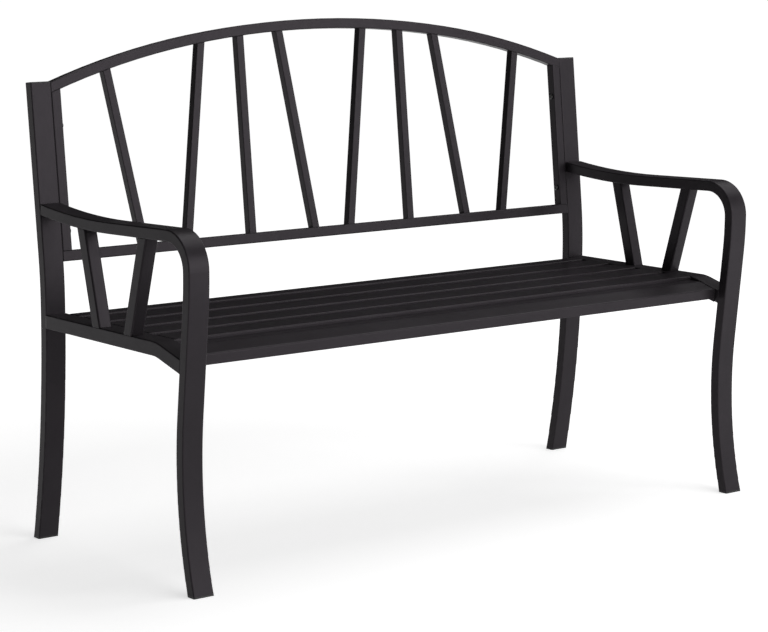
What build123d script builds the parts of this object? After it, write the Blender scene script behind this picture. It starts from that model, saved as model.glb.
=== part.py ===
from build123d import *
import os
from math import acos, asin, atan2, cos, degrees, hypot, radians, sin, sqrt, tan

os.makedirs("parts", exist_ok=True)

# Overall size: X along the bench, front toward -Y, floor at height zero
bench_length = 1270
bench_depth = 531
seat_height = 415
post_above_seat = 407
arch_above_post = 95.8

# Overrun of every cut past the face it leaves
overrun = 5

# Flat tube of the side frames, its wide side across the bench
tube_width = 40
tube_depth = 20
tube_corner = 2
tube_wall = 1.2

# Rear post: upright at the knee, leaning back above, kicked back below
back_lean = 5.7
post_kick = 55.9
knee_above_seat = 25
upper_bend_radius = 800

# Arm rest and front leg in one bent tube
arm_above_seat = 174
arm_low_share = 0.3935
arm_sag_radius = 1450
arm_bend_radius = 55
arm_bend_rise = 6
leg_knee_radius = 600
leg_kick = 38.6
leg_waist_share = 0.389

# Seat side rail, which dips ahead of the slats
rail_depth = 25
rail_bend_setback = 67.5
rail_fall = 15
rail_bend_radius = 80

# Slanted struts between seat side rail and arm rest, placed from post to leg
strut_size = 25
strut_corner = 3
strut_inset = 0.3
strut_reach = 9
rear_foot_share = 0.409
rear_head_share = 0.31
front_foot_share = 0.643
front_head_share = 0.758

# Plastic ends of the tubes
foot_thickness = 3
cap_thickness = 2.5
plug_length = 14
plug_clearance = 0.15
cap_edge = 0.8

# Back rest: a flat crown with tighter shoulders, and bars placed from the middle to the posts
back_tube = 19
back_corner = 2
back_wall = 1.2
arch_crown_share = 1.063
arch_shoulder_share = 0.5
back_rail_above_seat = 91.3
bar_size = 16
bar_corner = 1.5
bar_wall = 1
bar_reach = 8
bar_foot_shares = (-0.7126, -0.553, -0.3143, -0.0706, 0.0706, 0.3143, 0.553, 0.7126)
bar_head_shares = (-0.8034, -0.4605, -0.3143, -0.1647, 0.1647, 0.3143, 0.4605, 0.8034)

# Seat of folded strips that reach over the mounting plates, and a front beam that ends beside them
seat_end_gap = 0.5
slat_end_gap = 1
seat_back_gap = 11
slat_count = 4
slat_gap = 16
slat_fold = 9
slat_sheet = 1.2
slat_bend = 2
rear_strip_width = 34
front_flat = 29
front_tuck = 12
front_slope_run = 37
front_slope = 15.7
front_sheet = 1.5
front_bend = 2.5
apron_setback = 3.5
apron_below_seat = 36.5
bearer_width = 20
bearer_depth = 15
bearer_corner = 1.5
bearer_wall = 1.2
bearer_bend_radius = 12
bearer_setback = 6

# Mounting plates on the inner faces of the side rails
plate_thickness = 2.5
plate_length = 38
rear_plate_setback = 38.6

# Button head bolts and rivet nuts
bolt_radius = 3
bolt_clearance = 0.3
thread_clearance = 0.05
head_radius = 5.25
head_height = 3.3
head_dome = 1.6
socket_radius = 2.3
socket_depth = 2
bolt_tail = 8
nut_radius = 4.5
nut_bulge_radius = 5.6
nut_bulge_length = 4
nut_length = 13
lower_bolt_rise = 53
upper_bolt_drop = 77

# Places that follow from the sizes above
half_length = bench_length / 2
half_depth = bench_depth / 2
half_tube = tube_depth / 2
side_x = half_length - tube_width / 2
inner_x = half_length - tube_width
lean = radians(back_lean)
post_height = seat_height + post_above_seat
arch_height = post_height + arch_above_post
knee_y = half_depth - post_kick
knee_height = seat_height + knee_above_seat
lean_start_y = knee_y + upper_bend_radius * (1 - cos(lean))
lean_start_height = knee_height + upper_bend_radius * sin(lean)
kick_radius = (knee_height**2 + post_kick**2 - half_tube**2) / (2 * (post_kick - half_tube))
post_end_height = post_height - cap_thickness * cos(lean)
post_run = (post_end_height - lean_start_height) / cos(lean)

# Straight back plane through the front faces of the leaning posts
back_plane = Plane(
    origin=(0, lean_start_y - half_tube * cos(lean), lean_start_height + half_tube * sin(lean)),
    x_dir=(1, 0, 0),
    z_dir=(0, -cos(lean), sin(lean)),
)


def up_the_back(height):
    return (height - back_plane.origin.Z) / cos(lean)


arch_end = up_the_back(post_height)
arch_rise = up_the_back(arch_height) - arch_end
crown_radius = arch_crown_share * (inner_x**2 + arch_rise**2) / (2 * arch_rise)
crown_centre = up_the_back(arch_height) - crown_radius
shoulder_angle = asin(arch_shoulder_share * inner_x / crown_radius)
shoulder_run = inner_x - crown_radius * sin(shoulder_angle)
shoulder_drop = crown_centre + crown_radius * cos(shoulder_angle) - arch_end
shoulder_radius = (shoulder_run**2 + shoulder_drop**2) / (
    2 * (shoulder_drop * cos(shoulder_angle) - shoulder_run * sin(shoulder_angle)))
back_rail_height = seat_height + back_rail_above_seat
back_rail_top = up_the_back(back_rail_height) + back_tube
back_bolt_heights = {"lower": back_rail_height + lower_bolt_rise,
                     "upper": post_height - upper_bolt_drop}


def arch_height_at(x, depth):
    if abs(x) < (crown_radius - depth) * sin(shoulder_angle):
        return crown_centre + sqrt((crown_radius - depth) ** 2 - x**2)
    centre_gap = crown_radius - shoulder_radius
    from_centre = abs(x) - centre_gap * sin(shoulder_angle)
    return (crown_centre + centre_gap * cos(shoulder_angle)
            + sqrt((shoulder_radius - depth) ** 2 - from_centre**2))


def arch_underside(x):
    return arch_height_at(x, back_tube)


# Arm rest and front leg: tangents that join their arcs
arm_low_height = seat_height + arm_above_seat
arm_bend_y = half_tube - half_depth
arm_bend_height = arm_low_height + arm_bend_rise - arm_bend_radius
arm_low_y = knee_y - arm_low_share * (knee_y - arm_bend_y)
arm_run_y = arm_low_y - (arm_bend_y + arm_bend_radius)
arm_run_z = arm_low_height + arm_sag_radius - arm_bend_height
arm_reach = arm_sag_radius + arm_bend_radius
arm_rise = atan2(arm_run_y, arm_run_z) - acos(arm_reach / hypot(arm_run_y, arm_run_z))
leg_waist_y = leg_kick - half_depth
leg_waist_height = leg_waist_share * arm_bend_height
leg_foot_radius = (leg_waist_height**2 + leg_kick**2 - half_tube**2) / (2 * (leg_kick - half_tube))
leg_span_y = arm_bend_y + leg_knee_radius - (leg_waist_y - leg_foot_radius)
leg_span_z = arm_bend_height - leg_waist_height
leg_reach = leg_knee_radius + leg_foot_radius
leg_slope = atan2(leg_span_z, leg_span_y) - acos(leg_reach / hypot(leg_span_z, leg_span_y))
side_span = knee_y - leg_waist_y

# Heights and edges of the seat
rail_height = seat_height - rail_depth / 2
rail_bend_y = leg_waist_y + rail_bend_setback
slat_half = inner_x - slat_end_gap
beam_half = inner_x - plate_thickness - seat_end_gap
seat_back_y = knee_y - half_tube - seat_back_gap
apron_y = leg_waist_y + apron_setback
apron_height = seat_height - apron_below_seat
slope_start_y = apron_y + front_slope_run
slope = radians(front_slope)
slats_back_y = seat_back_y - rear_strip_width - slat_gap
slats_front_y = slope_start_y + front_flat
slat_pitch = (slats_back_y - slats_front_y + slat_gap) / slat_count
bearer_top = seat_height - slat_fold
bearer_middle = bearer_top - bearer_depth / 2
bearer_bend_y = slope_start_y + bearer_depth / 2 * tan(slope / 2)
bearer_front_y = apron_y + bearer_setback
bearer_x = inner_x - plate_thickness - bearer_width / 2


def side_plane(x):
    return Plane(origin=(x, 0, 0), x_dir=(0, 1, 0), z_dir=(1, 0, 0))


def bar_along(path, across, width, depth, corner):
    with BuildPart() as bar:
        with BuildSketch(Plane(origin=path @ 0, x_dir=across, z_dir=path % 0)):
            RectangleRounded(width, depth, corner)
        sweep(path=path)
    return bar.part


def stretched(foot, head, reach):
    length = hypot(head[0] - foot[0], head[1] - foot[1])
    way = (reach * (head[0] - foot[0]) / length, reach * (head[1] - foot[1]) / length)
    return (foot[0] - way[0], foot[1] - way[1]), (head[0] + way[0], head[1] + way[1])


def side_bar(path, inset=0, depth=tube_depth):
    corner = tube_corner - min(inset, tube_wall)
    return bar_along(path, (1, 0, 0), tube_width - 2 * inset, depth - 2 * inset, corner)


def post_path(x):
    with BuildLine(side_plane(x)) as path:
        JernArc((knee_y, knee_height), (0, -1), kick_radius,
                degrees(asin((knee_height + overrun) / kick_radius)))
        JernArc((knee_y, knee_height), (0, 1), upper_bend_radius, -back_lean)
        PolarLine((lean_start_y, lean_start_height), post_run, angle=90 - back_lean)
    return path.wires()[0]


def arm_path(x):
    back_turn = asin((knee_y - arm_low_y) / arm_sag_radius)
    start = (arm_low_y + arm_sag_radius * sin(back_turn),
             arm_low_height + arm_sag_radius * (1 - cos(back_turn)))
    sag_end = (arm_low_y - arm_sag_radius * sin(arm_rise),
               arm_low_height + arm_sag_radius * (1 - cos(arm_rise)))
    bend_start = (arm_bend_y + arm_bend_radius + arm_bend_radius * sin(arm_rise),
                  arm_bend_height + arm_bend_radius * cos(arm_rise))
    knee_end = (arm_bend_y + leg_knee_radius * (1 - cos(leg_slope)),
                arm_bend_height - leg_knee_radius * sin(leg_slope))
    foot_start = (leg_waist_y - leg_foot_radius * (1 - cos(leg_slope)),
                  leg_waist_height + leg_foot_radius * sin(leg_slope))
    foot_turn = leg_slope + asin((leg_waist_height + overrun) / leg_foot_radius)
    with BuildLine(side_plane(x)) as path:
        JernArc(start, (-cos(back_turn), -sin(back_turn)), arm_sag_radius,
                -degrees(back_turn + arm_rise))
        Line(sag_end, bend_start)
        JernArc(bend_start, (-cos(arm_rise), sin(arm_rise)), arm_bend_radius,
                90 + degrees(arm_rise))
        JernArc((arm_bend_y, arm_bend_height), (0, -1), leg_knee_radius, degrees(leg_slope))
        Line(knee_end, foot_start)
        JernArc(foot_start, (sin(leg_slope), -cos(leg_slope)), leg_foot_radius,
                -degrees(foot_turn))
    return path.wires()[0]


def rail_path(x):
    front_y = leg_waist_y - half_tube
    front_height = rail_height - (rail_bend_y - front_y) * tan(radians(rail_fall))
    with BuildLine(side_plane(x)) as path:
        FilletPolyline((knee_y, rail_height), (rail_bend_y, rail_height),
                       (front_y, front_height), radius=rail_bend_radius)
    return path.wires()[0]


def bearer_path(x):
    front_y = bearer_front_y - overrun
    with BuildLine(side_plane(x)) as path:
        FilletPolyline((seat_back_y, bearer_middle), (bearer_bend_y, bearer_middle),
                       (front_y, bearer_middle - (bearer_bend_y - front_y) * tan(slope)),
                       radius=bearer_bend_radius)
    return path.wires()[0]


def plate_bolt_places(sign):
    front_y = apron_y + plate_length / 2
    front_height = bearer_middle - (bearer_bend_y - front_y) * tan(slope)
    rear_y = seat_back_y - rear_plate_setback
    return {"front": (sign, front_y, front_height), "rear": (sign, rear_y, bearer_middle)}


def bolt_plane(sign, x, y, height):
    return Plane(origin=(sign * x, y, height), x_dir=(0, 1, 0), z_dir=(-sign, 0, 0))


def button_bolt(plane, shank):
    with BuildPart() as bolt:
        with BuildSketch(plane):
            Circle(head_radius)
        extrude(amount=head_height)
        fillet(bolt.faces().sort_by(Axis(plane.origin, plane.z_dir))[-1].edges(), head_dome)
        with BuildSketch(plane):
            Circle(bolt_radius)
        extrude(amount=-shank)
        with BuildSketch(plane.offset(head_height)):
            RegularPolygon(socket_radius, 6)
        extrude(amount=-socket_depth, mode=Mode.SUBTRACT)
    return bolt.part


# Envelopes of the bent tubes, used to cope the tubes that end on them
post_envelopes = {sign: side_bar(post_path(sign * side_x)) for sign in (-1, 1)}
arm_envelopes = {sign: side_bar(arm_path(sign * side_x)) for sign in (-1, 1)}
rail_envelopes = {sign: side_bar(rail_path(sign * side_x), depth=rail_depth) for sign in (-1, 1)}


def back_bolt_planes(sign, x):
    planes = {}
    for level, height in back_bolt_heights.items():
        spot = back_plane.from_local_coords(Vector(0, up_the_back(height), -back_tube / 2))
        planes[level] = bolt_plane(sign, x, spot.Y, spot.Z)
    return planes


for side, sign in (("left", -1), ("right", 1)):
    x = sign * side_x
    post_line = post_path(x)
    arm_line = arm_path(x)
    rail_line = rail_path(x)

    # Rear post with its leg, open at both ends for the plugs
    with BuildPart() as rear_post:
        add(post_envelopes[sign])
        add(side_bar(post_line, tube_wall), mode=Mode.SUBTRACT)
        split(bisect_by=Plane.XY.offset(foot_thickness), keep=Keep.TOP)
        for plane in back_bolt_planes(sign, inner_x).values():
            with BuildSketch(plane.offset(overrun)):
                Circle(nut_radius)
            extrude(amount=-overrun - tube_wall, mode=Mode.SUBTRACT)
    rear_post.part.label = f"rear_post_{side}"
    export_step(rear_post.part, f"parts/rear_post_{side}.step")

    # Arm rest that bends down into the front leg, coped to the post
    with BuildPart() as arm_front_leg:
        add(arm_envelopes[sign])
        add(side_bar(arm_line, tube_wall), mode=Mode.SUBTRACT)
        split(bisect_by=Plane.XY.offset(foot_thickness), keep=Keep.TOP)
        add(post_envelopes[sign], mode=Mode.SUBTRACT)
    arm_front_leg.part.label = f"arm_front_leg_{side}"
    export_step(arm_front_leg.part, f"parts/arm_front_leg_{side}.step")

    # Seat side rail between rear post and front leg
    with BuildPart() as side_rail:
        add(rail_envelopes[sign])
        add(side_bar(rail_line, tube_wall, rail_depth), mode=Mode.SUBTRACT)
        add(post_envelopes[sign], mode=Mode.SUBTRACT)
        add(arm_envelopes[sign], mode=Mode.SUBTRACT)
        for place in plate_bolt_places(sign).values():
            with BuildSketch(bolt_plane(place[0], inner_x - overrun, place[1], place[2])):
                Circle(bolt_radius + bolt_clearance)
            extrude(amount=-overrun - tube_width / 2, mode=Mode.SUBTRACT)
    side_rail.part.label = f"seat_side_rail_{side}"
    export_step(side_rail.part, f"parts/seat_side_rail_{side}.step")

    # Two slanted struts near the outer side of the frame
    strut_x = sign * (half_length - strut_inset - strut_size / 2)
    strut_head_height = arm_low_height - half_tube
    strut_bore = strut_size - 2 * tube_wall
    for place, foot_share, head_share in (("rear", rear_foot_share, rear_head_share),
                                          ("front", front_foot_share, front_head_share)):
        foot = (knee_y - foot_share * side_span, seat_height)
        head = (knee_y - head_share * side_span, strut_head_height)
        with BuildLine(side_plane(strut_x)) as strut_line:
            Line(stretched(foot, head, strut_reach))
        strut_wire = strut_line.wires()[0]
        with BuildPart() as arm_strut:
            add(bar_along(strut_wire, (1, 0, 0), strut_size, strut_size, strut_corner))
            add(bar_along(strut_wire, (1, 0, 0), strut_bore, strut_bore,
                          strut_corner - tube_wall), mode=Mode.SUBTRACT)
            add(arm_envelopes[sign], mode=Mode.SUBTRACT)
            add(rail_envelopes[sign], mode=Mode.SUBTRACT)
        arm_strut.part.label = f"{place}_arm_strut_{side}"
        export_step(arm_strut.part, f"parts/{place}_arm_strut_{side}.step")

    # Plastic foot caps that close the legs at the floor
    for place, line, envelope in (("rear", post_line, post_envelopes[sign]),
                                  ("front", arm_line, arm_envelopes[sign])):
        with BuildPart() as plug:
            add(side_bar(line, tube_wall + plug_clearance))
            split(bisect_by=Plane.XY.offset(foot_thickness + plug_length), keep=Keep.BOTTOM)
            split(bisect_by=Plane.XY, keep=Keep.TOP)
        with BuildPart() as foot_cap:
            add(envelope)
            split(bisect_by=Plane.XY.offset(foot_thickness), keep=Keep.BOTTOM)
            split(bisect_by=Plane.XY, keep=Keep.TOP)
            add(plug.part)
        foot_cap.part.label = f"{place}_foot_cap_{side}"
        export_step(foot_cap.part, f"parts/{place}_foot_cap_{side}.step")

    # Plastic cap on top of the rear post
    top_plane = Plane(origin=(x, lean_start_y + post_run * sin(lean), post_end_height),
                      x_dir=(1, 0, 0), z_dir=(0, sin(lean), cos(lean)))
    plug_inset = 2 * (tube_wall + plug_clearance)
    with BuildPart() as post_cap:
        with BuildSketch(top_plane):
            RectangleRounded(tube_width, tube_depth, tube_corner)
        extrude(amount=cap_thickness)
        chamfer(post_cap.faces().sort_by(Axis(top_plane.origin, top_plane.z_dir))[-1].edges(),
                cap_edge)
        with BuildSketch(top_plane):
            RectangleRounded(tube_width - plug_inset, tube_depth - plug_inset,
                             tube_corner - tube_wall)
        extrude(amount=-plug_length)
    post_cap.part.label = f"post_cap_{side}"
    export_step(post_cap.part, f"parts/post_cap_{side}.step")

    # Mounting plates on the inner face of the side rail, tapped for the bolts
    bolt_places = plate_bolt_places(sign)
    for place, spot in bolt_places.items():
        plate_x = sign * (inner_x - plate_thickness / 2)
        plate_line = rail_path(plate_x)
        with BuildPart() as plate:
            with BuildSketch(Plane(origin=plate_line @ 0, x_dir=(1, 0, 0), z_dir=plate_line % 0)):
                Rectangle(plate_thickness, rail_depth)
            sweep(path=plate_line)
            split(bisect_by=Plane.XZ.offset(-spot[1] - plate_length / 2), keep=Keep.TOP)
            split(bisect_by=Plane.XZ.offset(-spot[1] + plate_length / 2), keep=Keep.BOTTOM)
            split(bisect_by=Plane.XY.offset(bearer_top), keep=Keep.BOTTOM)
            with BuildSketch(bolt_plane(sign, inner_x - plate_thickness - overrun,
                                        spot[1], spot[2])):
                Circle(bolt_radius + thread_clearance)
            extrude(amount=-2 * overrun - plate_thickness, mode=Mode.SUBTRACT)
        plate.part.label = f"{place}_seat_plate_{side}"
        export_step(plate.part, f"parts/{place}_seat_plate_{side}.step")

    # End bearer under the slats, drilled across for the bolts
    bearer_wire = bearer_path(sign * bearer_x)
    with BuildPart() as end_bearer:
        add(bar_along(bearer_wire, (1, 0, 0), bearer_width, bearer_depth, bearer_corner))
        add(bar_along(bearer_wire, (1, 0, 0), bearer_width - 2 * bearer_wall,
                      bearer_depth - 2 * bearer_wall, bearer_corner / 2), mode=Mode.SUBTRACT)
        split(bisect_by=Plane.XZ.offset(-bearer_front_y), keep=Keep.BOTTOM)
        for spot in bolt_places.values():
            with BuildSketch(bolt_plane(sign, bearer_x - bearer_width, spot[1], spot[2])):
                Circle(bolt_radius + bolt_clearance)
            extrude(amount=-2 * bearer_width, mode=Mode.SUBTRACT)
    end_bearer.part.label = f"seat_end_bearer_{side}"
    export_step(end_bearer.part, f"parts/seat_end_bearer_{side}.step")

    # Bolts that hold the seat to the mounting plates
    for place, spot in bolt_places.items():
        seat_plane = bolt_plane(sign, bearer_x - bearer_width / 2, spot[1], spot[2])
        seat_bolt = button_bolt(seat_plane, bearer_width + plate_thickness + bolt_tail)
        seat_bolt.label = f"{place}_seat_bolt_{side}"
        export_step(seat_bolt, f"parts/{place}_seat_bolt_{side}.step")

# Curved top rail of the back rest, cut upright against the posts
arch_turn = degrees(shoulder_angle)
shoulder_gap = (crown_radius - shoulder_radius) * sin(shoulder_angle)
end_angle = asin((inner_x + overrun - shoulder_gap) / (shoulder_radius - back_tube / 2))
end_turn = degrees(end_angle) - arch_turn
with BuildLine(back_plane.offset(-back_tube / 2)) as arch_line:
    left_shoulder = JernArc(
        (-inner_x - overrun, arch_height_at(inner_x + overrun, back_tube / 2)),
        (cos(end_angle), sin(end_angle)), shoulder_radius - back_tube / 2, -end_turn)
    crown = JernArc(left_shoulder @ 1, (cos(shoulder_angle), sin(shoulder_angle)),
                    crown_radius - back_tube / 2, -2 * arch_turn)
    JernArc(crown @ 1, (cos(shoulder_angle), -sin(shoulder_angle)),
            shoulder_radius - back_tube / 2, -end_turn)
arch_wire = arch_line.wires()[0]
with BuildPart() as arch_envelope:
    add(bar_along(arch_wire, back_plane.z_dir, back_tube, back_tube, back_corner))
    split(bisect_by=Plane.YZ.offset(inner_x), keep=Keep.BOTTOM)
    split(bisect_by=Plane.YZ.offset(-inner_x), keep=Keep.TOP)
with BuildPart() as back_top_arch:
    add(arch_envelope.part)
    add(bar_along(arch_wire, back_plane.z_dir, back_tube - 2 * back_wall,
                  back_tube - 2 * back_wall, back_corner - back_wall), mode=Mode.SUBTRACT)
back_top_arch.part.label = "back_top_arch"
export_step(back_top_arch.part, "parts/back_top_arch.step")

# Straight bottom rail of the back rest
rail_middle = back_rail_top - back_tube / 2
with BuildLine(back_plane.offset(-back_tube / 2)) as rail_line:
    Line((-inner_x, rail_middle), (inner_x, rail_middle))
rail_wire = rail_line.wires()[0]
back_rail_envelope = bar_along(rail_wire, back_plane.z_dir, back_tube, back_tube,
                               back_corner)
with BuildPart() as back_bottom_rail:
    add(back_rail_envelope)
    add(bar_along(rail_wire, back_plane.z_dir, back_tube - 2 * back_wall,
                  back_tube - 2 * back_wall, back_corner - back_wall), mode=Mode.SUBTRACT)
back_bottom_rail.part.label = "back_bottom_rail"
export_step(back_bottom_rail.part, "parts/back_bottom_rail.step")

# Uprights of the back rest, standing on the bottom rail and bolted to the posts
for side, sign in (("left", -1), ("right", 1)):
    upright_x = sign * (inner_x - back_tube / 2)
    with BuildLine(back_plane.offset(-back_tube / 2)) as upright_line:
        Line((upright_x, back_rail_top), (upright_x, arch_underside(upright_x) + bar_reach))
    upright_wire = upright_line.wires()[0]
    with BuildPart() as back_upright:
        add(bar_along(upright_wire, back_plane.z_dir, back_tube, back_tube, back_corner))
        add(bar_along(upright_wire, back_plane.z_dir, back_tube - 2 * back_wall,
                      back_tube - 2 * back_wall, back_corner - back_wall), mode=Mode.SUBTRACT)
        add(arch_envelope.part, mode=Mode.SUBTRACT)
        for plane in back_bolt_planes(sign, inner_x - back_tube).values():
            with BuildSketch(plane.offset(overrun)):
                Circle(bolt_radius + bolt_clearance)
            extrude(amount=-2 * overrun - back_tube, mode=Mode.SUBTRACT)
    back_upright.part.label = f"back_upright_{side}"
    export_step(back_upright.part, f"parts/back_upright_{side}.step")

    for level, plane in back_bolt_planes(sign, inner_x - back_tube).items():
        back_bolt = button_bolt(plane, back_tube + nut_length)
        back_bolt.label = f"{level}_back_bolt_{side}"
        export_step(back_bolt, f"parts/{level}_back_bolt_{side}.step")

    # Rivet nuts in the inner walls of the posts
    for level, plane in back_bolt_planes(sign, inner_x).items():
        with BuildPart() as rivet_nut:
            with BuildSketch(plane):
                Circle(nut_radius)
            extrude(amount=-nut_length)
            with BuildSketch(plane.offset(-tube_wall)):
                Circle(nut_bulge_radius)
            extrude(amount=-nut_bulge_length)
            with BuildSketch(plane):
                Circle(bolt_radius + thread_clearance)
            extrude(amount=-nut_length, mode=Mode.SUBTRACT)
        rivet_nut.part.label = f"{level}_rivet_nut_{side}"
        export_step(rivet_nut.part, f"parts/{level}_rivet_nut_{side}.step")

# Fanned bars between bottom rail and arch
for number, shares in enumerate(zip(bar_foot_shares, bar_head_shares), start=1):
    foot_x, head_x = (share * inner_x for share in shares)
    with BuildLine(back_plane.offset(-back_tube / 2)) as bar_line:
        Line(stretched((foot_x, back_rail_top), (head_x, arch_underside(head_x)), bar_reach))
    bar_wire = bar_line.wires()[0]
    with BuildPart() as back_bar:
        add(bar_along(bar_wire, back_plane.z_dir, bar_size, bar_size, bar_corner))
        add(bar_along(bar_wire, back_plane.z_dir, bar_size - 2 * bar_wall,
                      bar_size - 2 * bar_wall, bar_corner - bar_wall), mode=Mode.SUBTRACT)
        add(arch_envelope.part, mode=Mode.SUBTRACT)
        add(back_rail_envelope, mode=Mode.SUBTRACT)
    back_bar.part.label = f"back_bar_{number}"
    export_step(back_bar.part, f"parts/back_bar_{number}.step")


def folded_strip(back_y, front_y, front_bottom):
    middle = slat_sheet / 2
    with BuildPart() as strip:
        with BuildSketch(side_plane(-slat_half)):
            with BuildLine():
                FilletPolyline((back_y - middle, bearer_top), (back_y - middle, seat_height - middle),
                               (front_y + middle, seat_height - middle),
                               (front_y + middle, front_bottom), radius=slat_bend)
            trace(line_width=slat_sheet)
        extrude(amount=2 * slat_half)
    return strip.part


# Narrow strip at the back of the seat, then the full slats, the last standing on the front beam
rear_strip = folded_strip(seat_back_y, seat_back_y - rear_strip_width, bearer_top)
rear_strip.label = "seat_rear_strip"
export_step(rear_strip, "parts/seat_rear_strip.step")
for number in range(slat_count):
    back_y = slats_back_y - number * slat_pitch
    front_bottom = bearer_top + (front_sheet if number + 1 == slat_count else 0)
    slat = folded_strip(back_y, back_y - slat_pitch + slat_gap, front_bottom)
    slat.label = f"seat_slat_{number + 1}"
    export_step(slat, f"parts/seat_slat_{number + 1}.step")

# Front beam: flat lip under the last slat, sloped nose and upright apron in one folded sheet
front_middle = front_sheet / 2
nose_y = apron_y + front_middle
slope_top = (slope_start_y - front_middle * tan(slope / 2), bearer_top + front_middle)
nose_height = slope_top[1] - (slope_top[0] - nose_y) * tan(slope)
with BuildPart() as front_beam:
    with BuildSketch(side_plane(-beam_half)):
        with BuildLine():
            FilletPolyline((slats_front_y + front_tuck, slope_top[1]), slope_top,
                           (nose_y, nose_height), (nose_y, apron_height), radius=front_bend)
        trace(line_width=front_sheet)
    extrude(amount=2 * beam_half)
front_beam.part.label = "seat_front_beam"
export_step(front_beam.part, "parts/seat_front_beam.step")

# Centre bearer under the slats
centre_wire = bearer_path(0)
with BuildPart() as centre_bearer:
    add(bar_along(centre_wire, (1, 0, 0), bearer_width, bearer_depth, bearer_corner))
    add(bar_along(centre_wire, (1, 0, 0), bearer_width - 2 * bearer_wall,
                  bearer_depth - 2 * bearer_wall, bearer_corner / 2), mode=Mode.SUBTRACT)
    split(bisect_by=Plane.XZ.offset(-bearer_front_y), keep=Keep.BOTTOM)
centre_bearer.part.label = "seat_centre_bearer"
export_step(centre_bearer.part, "parts/seat_centre_bearer.step")
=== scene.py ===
import math
import bpy
from mathutils import Matrix, Vector

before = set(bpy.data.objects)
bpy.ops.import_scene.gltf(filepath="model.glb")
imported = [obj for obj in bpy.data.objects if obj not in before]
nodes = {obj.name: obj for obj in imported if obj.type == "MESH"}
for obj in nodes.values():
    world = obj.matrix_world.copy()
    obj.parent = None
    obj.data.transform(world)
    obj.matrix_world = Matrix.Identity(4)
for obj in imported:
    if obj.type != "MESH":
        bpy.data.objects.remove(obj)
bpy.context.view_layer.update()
scene = bpy.context.scene

# Edge wear, and on the coat a painted edge highlight, starts where the rounded normal leaves the plain one,
# as the cosine between them, and grows to full
wear_and_highlight_start = 0.995
wear_and_highlight_full = 0.90
bevel_samples = 6

# Sockets of the node that mixes two colours
mix_share = 0
mix_first = 6
mix_second = 7
mix_result = 2

# Floor: how far it reaches in metres, its greys, and its own brightness near the bench and away from it
floor_reach = 120.0
floor_lit_greys = (0.80, 0.82)
floor_seen_greys = (0.79, 0.80)
glow_near_distance = 0.8
glow_far_distance = 2.6
glow_near = 0.66
glow_far = 0.98

# World: heights in the sky, from level at 0 to straight up at 1, and the light of the room and its ceiling
white_band_top = 0.03
ceiling_start = 0.15
ceiling_full = 0.8
room_light = 0.004
ceiling_light = 0.075

# Points that the lamps aim at, in metres
seat_middle = (0.0, 0.0, 0.4)
bench_middle = (0.0, 0.0, 0.5)

# Camera fitted to the photograph: angles in degrees, lens and sensor in millimetres, the rest in metres
camera_turn = 37.449
camera_drop = 9.055
camera_roll = -0.149
camera_lens = 114.922
camera_sensor = 36.0
camera_place = (-2.7573, -3.5507, 1.0919)
camera_view_depth = 500.0


# Makes nodes in one tree: a socket given as a value is linked, and any other value is set
class NodeMaker:
    def __init__(self, tree):
        self.tree = tree
        tree.nodes.clear()

    def add(self, kind, inputs=(), **settings):
        node = self.tree.nodes.new(kind)
        for name, value in settings.items():
            setattr(node, name, value)
        for place, value in dict(inputs).items():
            if isinstance(value, bpy.types.NodeSocket):
                self.tree.links.new(value, node.inputs[place])
            else:
                node.inputs[place].default_value = value
        return node

    def math(self, operation, *values):
        return self.add("ShaderNodeMath", enumerate(values), operation=operation).outputs[0]

    def span(self, value, low, high, start, end):
        return self.add("ShaderNodeMapRange", {
            "Value": value, "From Min": low, "From Max": high, "To Min": start, "To Max": end}).outputs[0]

    def noise(self, where, scale, detail, roughness):
        return self.add("ShaderNodeTexNoise", {
            "Vector": where, "Scale": scale, "Detail": detail, "Roughness": roughness}).outputs[0]

    def mix(self, share, first, second):
        inputs = {mix_share: share, mix_first: first, mix_second: second}
        return self.add("ShaderNodeMix", inputs, data_type="RGBA").outputs[mix_result]

    def bump(self, strength, distance, height, normal):
        return self.add("ShaderNodeBump", {
            "Strength": strength, "Distance": distance, "Height": height, "Normal": normal}).outputs[0]

    def object_place(self):
        return self.add("ShaderNodeTexCoord").outputs["Object"]

    def surface(self, shader, kind="ShaderNodeOutputMaterial"):
        self.add(kind, {"Surface": shader.outputs[0]})


def grey(level):
    return (level, level, level, 1.0)


def new_material(name):
    material = bpy.data.materials.new(name)
    material.use_nodes = True
    return material, NodeMaker(material.node_tree)


# Mask of the edges within reach, in metres, for wear and for the coat's painted edge highlight, and the
# rounded normal
def edge_mask(make, reach):
    plain = make.add("ShaderNodeNewGeometry").outputs["Normal"]
    rounded = make.add("ShaderNodeBevel", {"Radius": reach}, samples=bevel_samples).outputs[0]
    dot = make.add("ShaderNodeVectorMath", {0: plain, 1: rounded}, operation="DOT_PRODUCT").outputs["Value"]
    return make.span(dot, wear_and_highlight_start, wear_and_highlight_full, 0.0, 1.0), rounded
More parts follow.
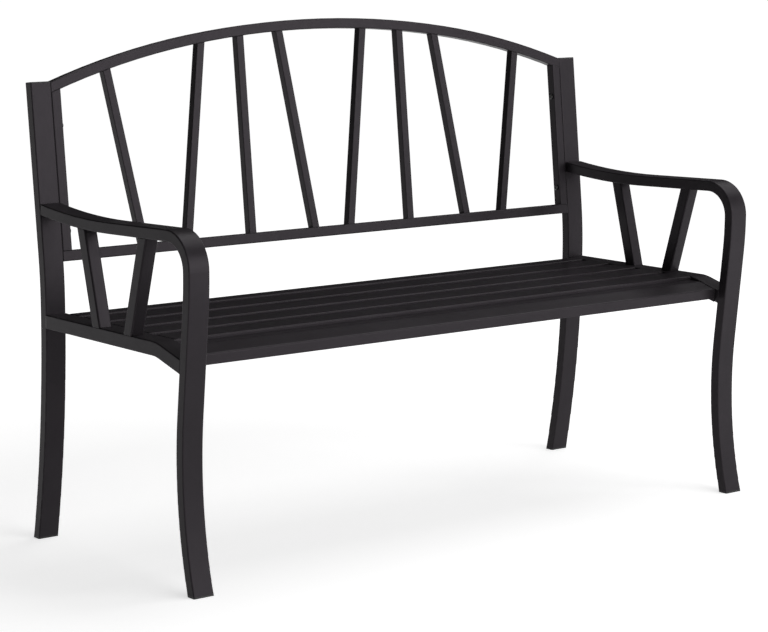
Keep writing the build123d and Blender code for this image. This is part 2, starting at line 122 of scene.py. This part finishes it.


# Black powder coat: fine orange peel, uneven tone and gloss, and lighter edges, partly thin and rubbed and
# partly a painted highlight
def powder_coat():
    dark_tone = (0.0245, 0.0216, 0.0245, 1.0)
    light_tone = (0.0295, 0.0260, 0.0295, 1.0)
    # Lighter edge tone: partly rubbed wear, partly a painted highlight on the ridges and bends
    edge_tone = (0.066, 0.060, 0.066, 1.0)
    smoothest = 0.31
    roughest = 0.37
    ripple = 0.03
    material, make = new_material("black powder coat")
    where = make.object_place()
    edges, rounded = edge_mask(make, reach=0.0016)
    broad = make.noise(where, scale=9.0, detail=4.0, roughness=0.6)
    middle = make.noise(where, scale=60.0, detail=4.0, roughness=0.55)
    fine = make.noise(where, scale=900.0, detail=2.0, roughness=0.5)
    tone_share = make.span(broad, low=0.35, high=0.65, start=0.0, end=1.0)
    patchy = make.span(middle, low=0.35, high=0.7, start=0.25, end=1.0)
    # Edges lightened in patches: partly rubbed wear, partly painted highlight
    edge_share = make.math("MULTIPLY", edges, patchy)
    tone = make.mix(edge_share, make.mix(tone_share, dark_tone, light_tone), edge_tone)
    roughness = make.math(
        "ADD",
        make.span(broad, low=0.3, high=0.7, start=smoothest, end=roughest),
        make.span(middle, low=0.3, high=0.7, start=-ripple, end=ripple))
    peel = make.bump(strength=0.12, distance=0.0004, height=fine, normal=rounded)
    make.surface(make.add("ShaderNodeBsdfPrincipled", {
        "Base Color": tone,
        "Roughness": roughness,
        "Normal": peel,
        "Specular IOR Level": 0.125,
        "Specular Tint": (1.0, 0.9, 1.0, 1.0)}))
    return material


# Black polythene of the foot and post caps, a little duller than the coat
def cap_plastic():
    dark_tone = (0.010, 0.010, 0.010, 1.0)
    light_tone = (0.015, 0.015, 0.0155, 1.0)
    edge_tone = grey(0.04)
    smoothest = 0.46
    roughest = 0.58
    material, make = new_material("black polythene")
    where = make.object_place()
    edges, rounded = edge_mask(make, reach=0.0008)
    broad = make.noise(where, scale=40.0, detail=3.0, roughness=0.6)
    fine = make.noise(where, scale=1400.0, detail=2.0, roughness=0.5)
    edge_share = make.math("MULTIPLY", edges, broad)
    tone = make.mix(edge_share, make.mix(broad, dark_tone, light_tone), edge_tone)
    grain = make.bump(strength=0.2, distance=0.0003, height=fine, normal=rounded)
    make.surface(make.add("ShaderNodeBsdfPrincipled", {
        "Base Color": tone,
        "Roughness": make.span(broad, low=0.3, high=0.7, start=smoothest, end=roughest),
        "Normal": grain,
        "Specular IOR Level": 0.4}))
    return material


# Steel of the bolts and rivet nuts, lighter at its edges
def steel(name, dark, light, roughness, metallic):
    wear = 0.6
    brightening = 1.8
    unevenness = 0.06
    material, make = new_material(name)
    where = make.object_place()
    edges, rounded = edge_mask(make, reach=0.0006)
    broad = make.noise(where, scale=250.0, detail=3.0, roughness=0.6)
    edge_share = make.math("MULTIPLY", edges, wear)
    edge_tone = grey(min(1.0, light * brightening))
    tone = make.mix(edge_share, make.mix(broad, grey(dark), grey(light)), edge_tone)
    grain = make.bump(strength=0.15, distance=0.0002, height=broad, normal=rounded)
    uneven = make.span(broad, low=0.3, high=0.7, start=roughness - unevenness, end=roughness + unevenness)
    make.surface(make.add("ShaderNodeBsdfPrincipled", {
        "Base Color": tone,
        "Roughness": uneven,
        "Normal": grain,
        "Metallic": metallic}))
    return material


# Bolts are blackened like the frame, and the rivet nuts inside the tubes are bright zinc
coat = powder_coat()
plastic = cap_plastic()
bolt_steel = steel("black bolt steel", dark=0.014, light=0.026, roughness=0.34, metallic=0.0)
nut_steel = steel("zinc plated steel", dark=0.42, light=0.55, roughness=0.38, metallic=1.0)

for name, node in nodes.items():
    if "cap" in name:
        material = plastic
    elif "rivet_nut" in name:
        material = nut_steel
    elif "bolt" in name:
        material = bolt_steel
    else:
        material = coat
    for slot in node.material_slots:
        slot.material = material


# Floor: near white to the camera and in reflections, with the soft shadow of the bench kept
def floor_material():
    material, make = new_material("white studio floor")
    where = make.object_place()
    speck = make.noise(where, scale=3.0, detail=2.0, roughness=0.5)
    lit_dark, lit_light = floor_lit_greys
    seen_dark, seen_light = floor_seen_greys
    lit = make.add("ShaderNodeBsdfDiffuse", {"Color": make.mix(speck, grey(lit_dark), grey(lit_light))})
    faint = make.add("ShaderNodeBsdfDiffuse", {"Color": make.mix(speck, grey(seen_dark), grey(seen_light))})
    away = make.add("ShaderNodeVectorMath", {"Vector": where}, operation="LENGTH").outputs["Value"]
    strength = make.span(away, glow_near_distance, glow_far_distance, glow_near, glow_far)
    glow = make.add("ShaderNodeEmission", {"Color": grey(1.0), "Strength": strength})
    seen = make.add("ShaderNodeAddShader", {0: faint.outputs[0], 1: glow.outputs[0]})
    path = make.add("ShaderNodeLightPath").outputs
    mirrored = make.math("MAXIMUM", path["Is Glossy Ray"], path["Is Transmission Ray"])
    direct = make.math("MAXIMUM", path["Is Camera Ray"], mirrored)
    make.surface(make.add("ShaderNodeMixShader", {"Fac": direct, 1: lit.outputs[0], 2: seen.outputs[0]}))
    return material


def make_floor(reach):
    corners = [(-reach, -reach, 0), (reach, -reach, 0), (reach, reach, 0), (-reach, reach, 0)]
    mesh = bpy.data.meshes.new("studio floor")
    mesh.from_pydata(corners, [], [(0, 1, 2, 3)])
    mesh.materials.append(floor_material())
    floor = bpy.data.objects.new("studio floor", mesh)
    scene.collection.objects.link(floor)


make_floor(floor_reach)


# World: white for the camera and low down in reflections, otherwise a dim room with a lighter ceiling
def make_world():
    world = bpy.data.worlds.new("studio")
    world.use_nodes = True
    scene.world = world
    make = NodeMaker(world.node_tree)
    direction = make.add("ShaderNodeTexCoord").outputs["Generated"]
    up = make.add("ShaderNodeSeparateXYZ", {"Vector": direction}).outputs["Z"]
    low = make.span(up, 0.0, white_band_top, 1.0, 0.0)
    path = make.add("ShaderNodeLightPath").outputs
    mirrored = make.math("MAXIMUM", path["Is Glossy Ray"], path["Is Transmission Ray"])
    white = make.math("MAXIMUM", path["Is Camera Ray"], make.math("MULTIPLY", mirrored, low))
    room = make.span(up, ceiling_start, ceiling_full, room_light, ceiling_light)
    strength = make.math("MAXIMUM", white, room)
    background = make.add("ShaderNodeBackground", {"Color": grey(1.0), "Strength": strength})
    make.surface(background, "ShaderNodeOutputWorld")


make_world()


# Softbox: place and sides in metres, power in watts
def area_lamp(name, place, target, width, height, power):
    lamp = bpy.data.lights.new(name, "AREA")
    lamp.shape = "RECTANGLE"
    lamp.size = width
    lamp.size_y = height
    lamp.energy = power
    softbox = bpy.data.objects.new(name, lamp)
    softbox.location = place
    softbox.rotation_euler = (Vector(target) - Vector(place)).to_track_quat("-Z", "Y").to_euler()
    scene.collection.objects.link(softbox)


area_lamp("overhead softbox", place=(1.35, 0.0, 2.9), target=seat_middle,
          width=2.2, height=2.6, power=37.0)
area_lamp("low front softbox", place=(1.5, -4.6, 0.8), target=bench_middle,
          width=5.0, height=1.4, power=52.0)
area_lamp("high front softbox", place=(1.5, -4.4, 2.1), target=bench_middle,
          width=5.0, height=2.0, power=117.0)


def make_camera():
    turn = math.radians(camera_turn)
    drop = math.radians(camera_drop)
    roll = math.radians(camera_roll)
    ahead = Vector((math.sin(turn) * math.cos(drop), math.cos(turn) * math.cos(drop), -math.sin(drop)))
    right = Vector((math.cos(turn), -math.sin(turn), 0.0))
    above = right.cross(ahead)
    side = right * math.cos(roll) + above * math.sin(roll)
    top = above * math.cos(roll) - right * math.sin(roll)
    data = bpy.data.cameras.new("photo camera")
    data.sensor_fit = "HORIZONTAL"
    data.sensor_width = camera_sensor
    data.lens = camera_lens
    data.clip_end = camera_view_depth
    camera = bpy.data.objects.new("photo camera", data)
    aim = Matrix((side, top, -ahead)).transposed().to_4x4()
    camera.matrix_world = Matrix.Translation(camera_place) @ aim
    scene.collection.objects.link(camera)
    scene.camera = camera


make_camera()
scene.view_settings.view_transform = "Standard"
